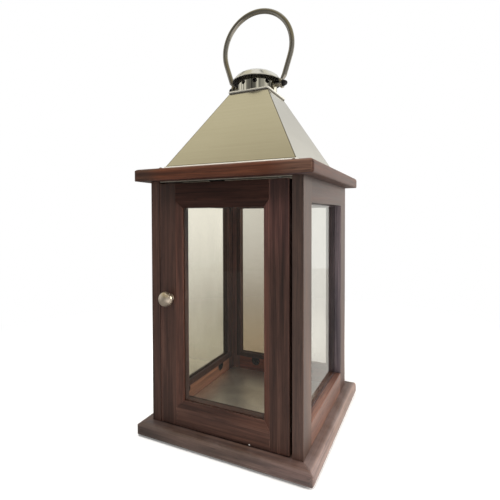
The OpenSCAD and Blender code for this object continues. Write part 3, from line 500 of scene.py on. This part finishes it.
# Where the floor, as shining things show it, turns from dim to a painted light, as if lit by the
# window
FLOOR_BRIGHT_X = (0.112, 0.120)
# A ray has met something glossy when its glossy depth passes this
MIRRORED = 0.5


def put_in_scene(name, data):
    o = bpy.data.objects.new(name, data)
    bpy.context.scene.collection.objects.link(o)
    return o


def make_floor():
    """A white round floor that turns pure white towards its rim, past the shadow."""
    mesh = bpy.data.meshes.new("studio_floor")
    bm = bmesh.new()
    bmesh.ops.create_circle(bm, cap_ends=True, radius=FLOOR_R, segments=96)
    bm.to_mesh(mesh)
    bm.free()
    o = put_in_scene("studio_floor", mesh)
    g = material("floor_white")
    place = g.coords()
    near = g.principled({"Base Color": (0.93, 0.93, 0.92, 1), "Roughness": 0.7,
                         "Emission Color": WHITE, "Emission Strength": 0.12})
    rim = g.add("Emission", {"Color": WHITE, "Strength": 1.0}).outputs[0]
    lit = g.shaders(g.smooth(g.vector("LENGTH", place), *FLOOR_FADE), near, rim)
    # What shines shows the floor with painted light on its right, as if lit by the window, and
    # dim elsewhere
    shown = g.mix(g.smooth(g.split(place)[X], *FLOOR_BRIGHT_X),
                  (0.27, 0.255, 0.23, 1), (1.0, 0.95, 0.88, 1))
    shown = g.add("Emission", {"Color": shown, "Strength": 1.0}).outputs[0]
    depth = g.add("LightPath").outputs["Glossy Depth"]
    mirrored = g.math("GREATER_THAN", depth, MIRRORED)
    mesh.materials.append(g.finish(g.shaders(mirrored, lit, shown)))


# The walls all round, as shining things show them: azimuth in degrees, and brightness
WALLS = [(-180, 0.85), (-170, 0.30), (-161, 0.90), (-152, 0.15), (-141, 0.90), (-130, 0.20),
         (-114, 0.12), (-100, 0.12), (-90, 0.10), (-76, 0.12), (-64, 0.75), (-54, 0.15),
         (-42, 0.34), (-30, 0.34), (-11, 0.75), (6, 0.10), (18, 0.15), (30, 0.95), (46, 1.3),
         (74, 1.3), (90, 0.66), (114, 0.22), (150, 0.25), (168, 0.60), (180, 0.85)]
# Heights in the room, as the z of the direction: a pale band on the walls, the foot of the
# ceiling, and straight above
PALE_FOOT, PALE_TOP = (-0.02, 0.08), (0.20, 0.26)
CEILING_FOOT = (0.38, 0.60)
ZENITH = (0.925, 0.97)
# The ceiling's bands, from the front to the back, lie at a slight slant
MIDDLE_BAND, BACK_BAND = (-0.275, -0.165), (0.25, 0.60)
SLANT = 0.075


def make_world():
    """A white room. What shines reflects its brighter and dimmer walls, all round."""
    world = bpy.data.worlds.new("studio")
    bpy.context.scene.world = world
    g = Graph(world)
    x, y, z = g.split(g.coords("Generated"))
    turn = g.math("DIVIDE", g.math("ARCTAN2", y, x), 2 * math.pi)
    turn = g.math("ADD", turn, 0.5)
    wall = g.ramp(turn, [((a + 180) / 360, (v, v * 0.98, v * 0.92)) for a, v in WALLS])
    # The walls are paler just above the horizon, as a roof seen from above shows them
    pale = g.times(g.band(z, PALE_FOOT, PALE_TOP), 0.75)
    wall = g.mix(pale, wall, g.mix(1.0, wall, (0.36, 0.35, 0.32, 1), "LIGHTEN"))
    # The ceiling is khaki in front, paler to the back, and whitest right above
    across = g.math("SUBTRACT", y, g.times(x, SLANT))
    ceiling = g.mix(g.smooth(across, *MIDDLE_BAND), (0.41, 0.365, 0.245, 1),
                    (0.60, 0.55, 0.385, 1))
    ceiling = g.mix(g.smooth(across, *BACK_BAND), ceiling, (0.80, 0.80, 0.77, 1))
    ceiling = g.mix(g.smooth(z, *ZENITH), ceiling, (0.85, 0.83, 0.77, 1))

    def background(colour):
        return g.add("Background", {"Color": colour, "Strength": 1.0}).outputs[0]

    ray = g.add("LightPath").outputs
    soft = background((0.55, 0.55, 0.55, 1))
    room = background(g.mix(g.smooth(z, *CEILING_FOOT), wall, ceiling))
    seen = g.shaders(ray["Is Glossy Ray"], soft, room)
    # Panes show the white behind them, but their faint mirror images show the room in front
    direct = g.math("LESS_THAN", ray["Glossy Depth"], MIRRORED)
    through = g.times(ray["Is Transmission Ray"],
                      g.math("MAXIMUM", direct, g.smooth(y, -0.1, 0.1)))
    white = g.math("MAXIMUM", ray["Is Camera Ray"], through)
    g.add("OutputWorld", {"Surface": g.shaders(white, seen, background(WHITE))})


LAMPS_AIM = Vector((0, 0, 0.2))


def lamp(name, at, size, watts, colour):
    """A square lamp that lights the lantern and shows in no reflection."""
    light = bpy.data.lights.new(name, "AREA")
    light.shape = "RECTANGLE"
    light.size = light.size_y = size
    light.energy = watts
    light.color = colour
    o = put_in_scene(name, light)
    o.location = at
    o.rotation_euler = (LAMPS_AIM - Vector(at)).to_track_quat("-Z", "Y").to_euler()
    o.visible_glossy = False


# The camera that was fitted to the edges in the photograph, which is 500 pixels wide
PHOTO_PX = 500.0
FOCAL_PX = 369.255
CENTRE_PX = (264.470, 224.507)
SENSOR_MM = 36.0
YAW, PITCH, ROLL = 0.425699, -0.0220512, -0.0019161
CAMERA_AT = (0.22074, AXIS_Y - 0.46408, 0.27430)


def make_camera():
    ahead = Vector((-math.sin(YAW) * math.cos(PITCH), math.cos(YAW) * math.cos(PITCH),
                    math.sin(PITCH)))
    level = Vector((math.cos(YAW), math.sin(YAW), 0.0))
    above = level.cross(ahead)
    right = math.cos(ROLL) * level + math.sin(ROLL) * above
    up = -math.sin(ROLL) * level + math.cos(ROLL) * above
    lens = bpy.data.cameras.new("photo_camera")
    lens.sensor_fit = "HORIZONTAL"
    lens.sensor_width = SENSOR_MM
    lens.lens = FOCAL_PX * SENSOR_MM / PHOTO_PX
    lens.shift_x = (PHOTO_PX / 2 - CENTRE_PX[0]) / PHOTO_PX
    lens.shift_y = (CENTRE_PX[1] - PHOTO_PX / 2) / PHOTO_PX
    camera = put_in_scene("photo_camera", lens)
    stand = Matrix((right, up, -ahead)).transposed().to_4x4()
    stand.translation = Vector(CAMERA_AT)
    camera.matrix_world = stand
    bpy.context.scene.camera = camera


make_floor()
make_world()
lamp("window", (1.6, 0.7, 0.9), 1.4, 44.0, (1.0, 0.97, 0.93))
lamp("ceiling", (-0.15, -0.60, 2.0), 0.9, 32.0, (1.0, 0.98, 0.95))
make_camera()

bpy.context.scene.view_settings.view_transform = "Standard"
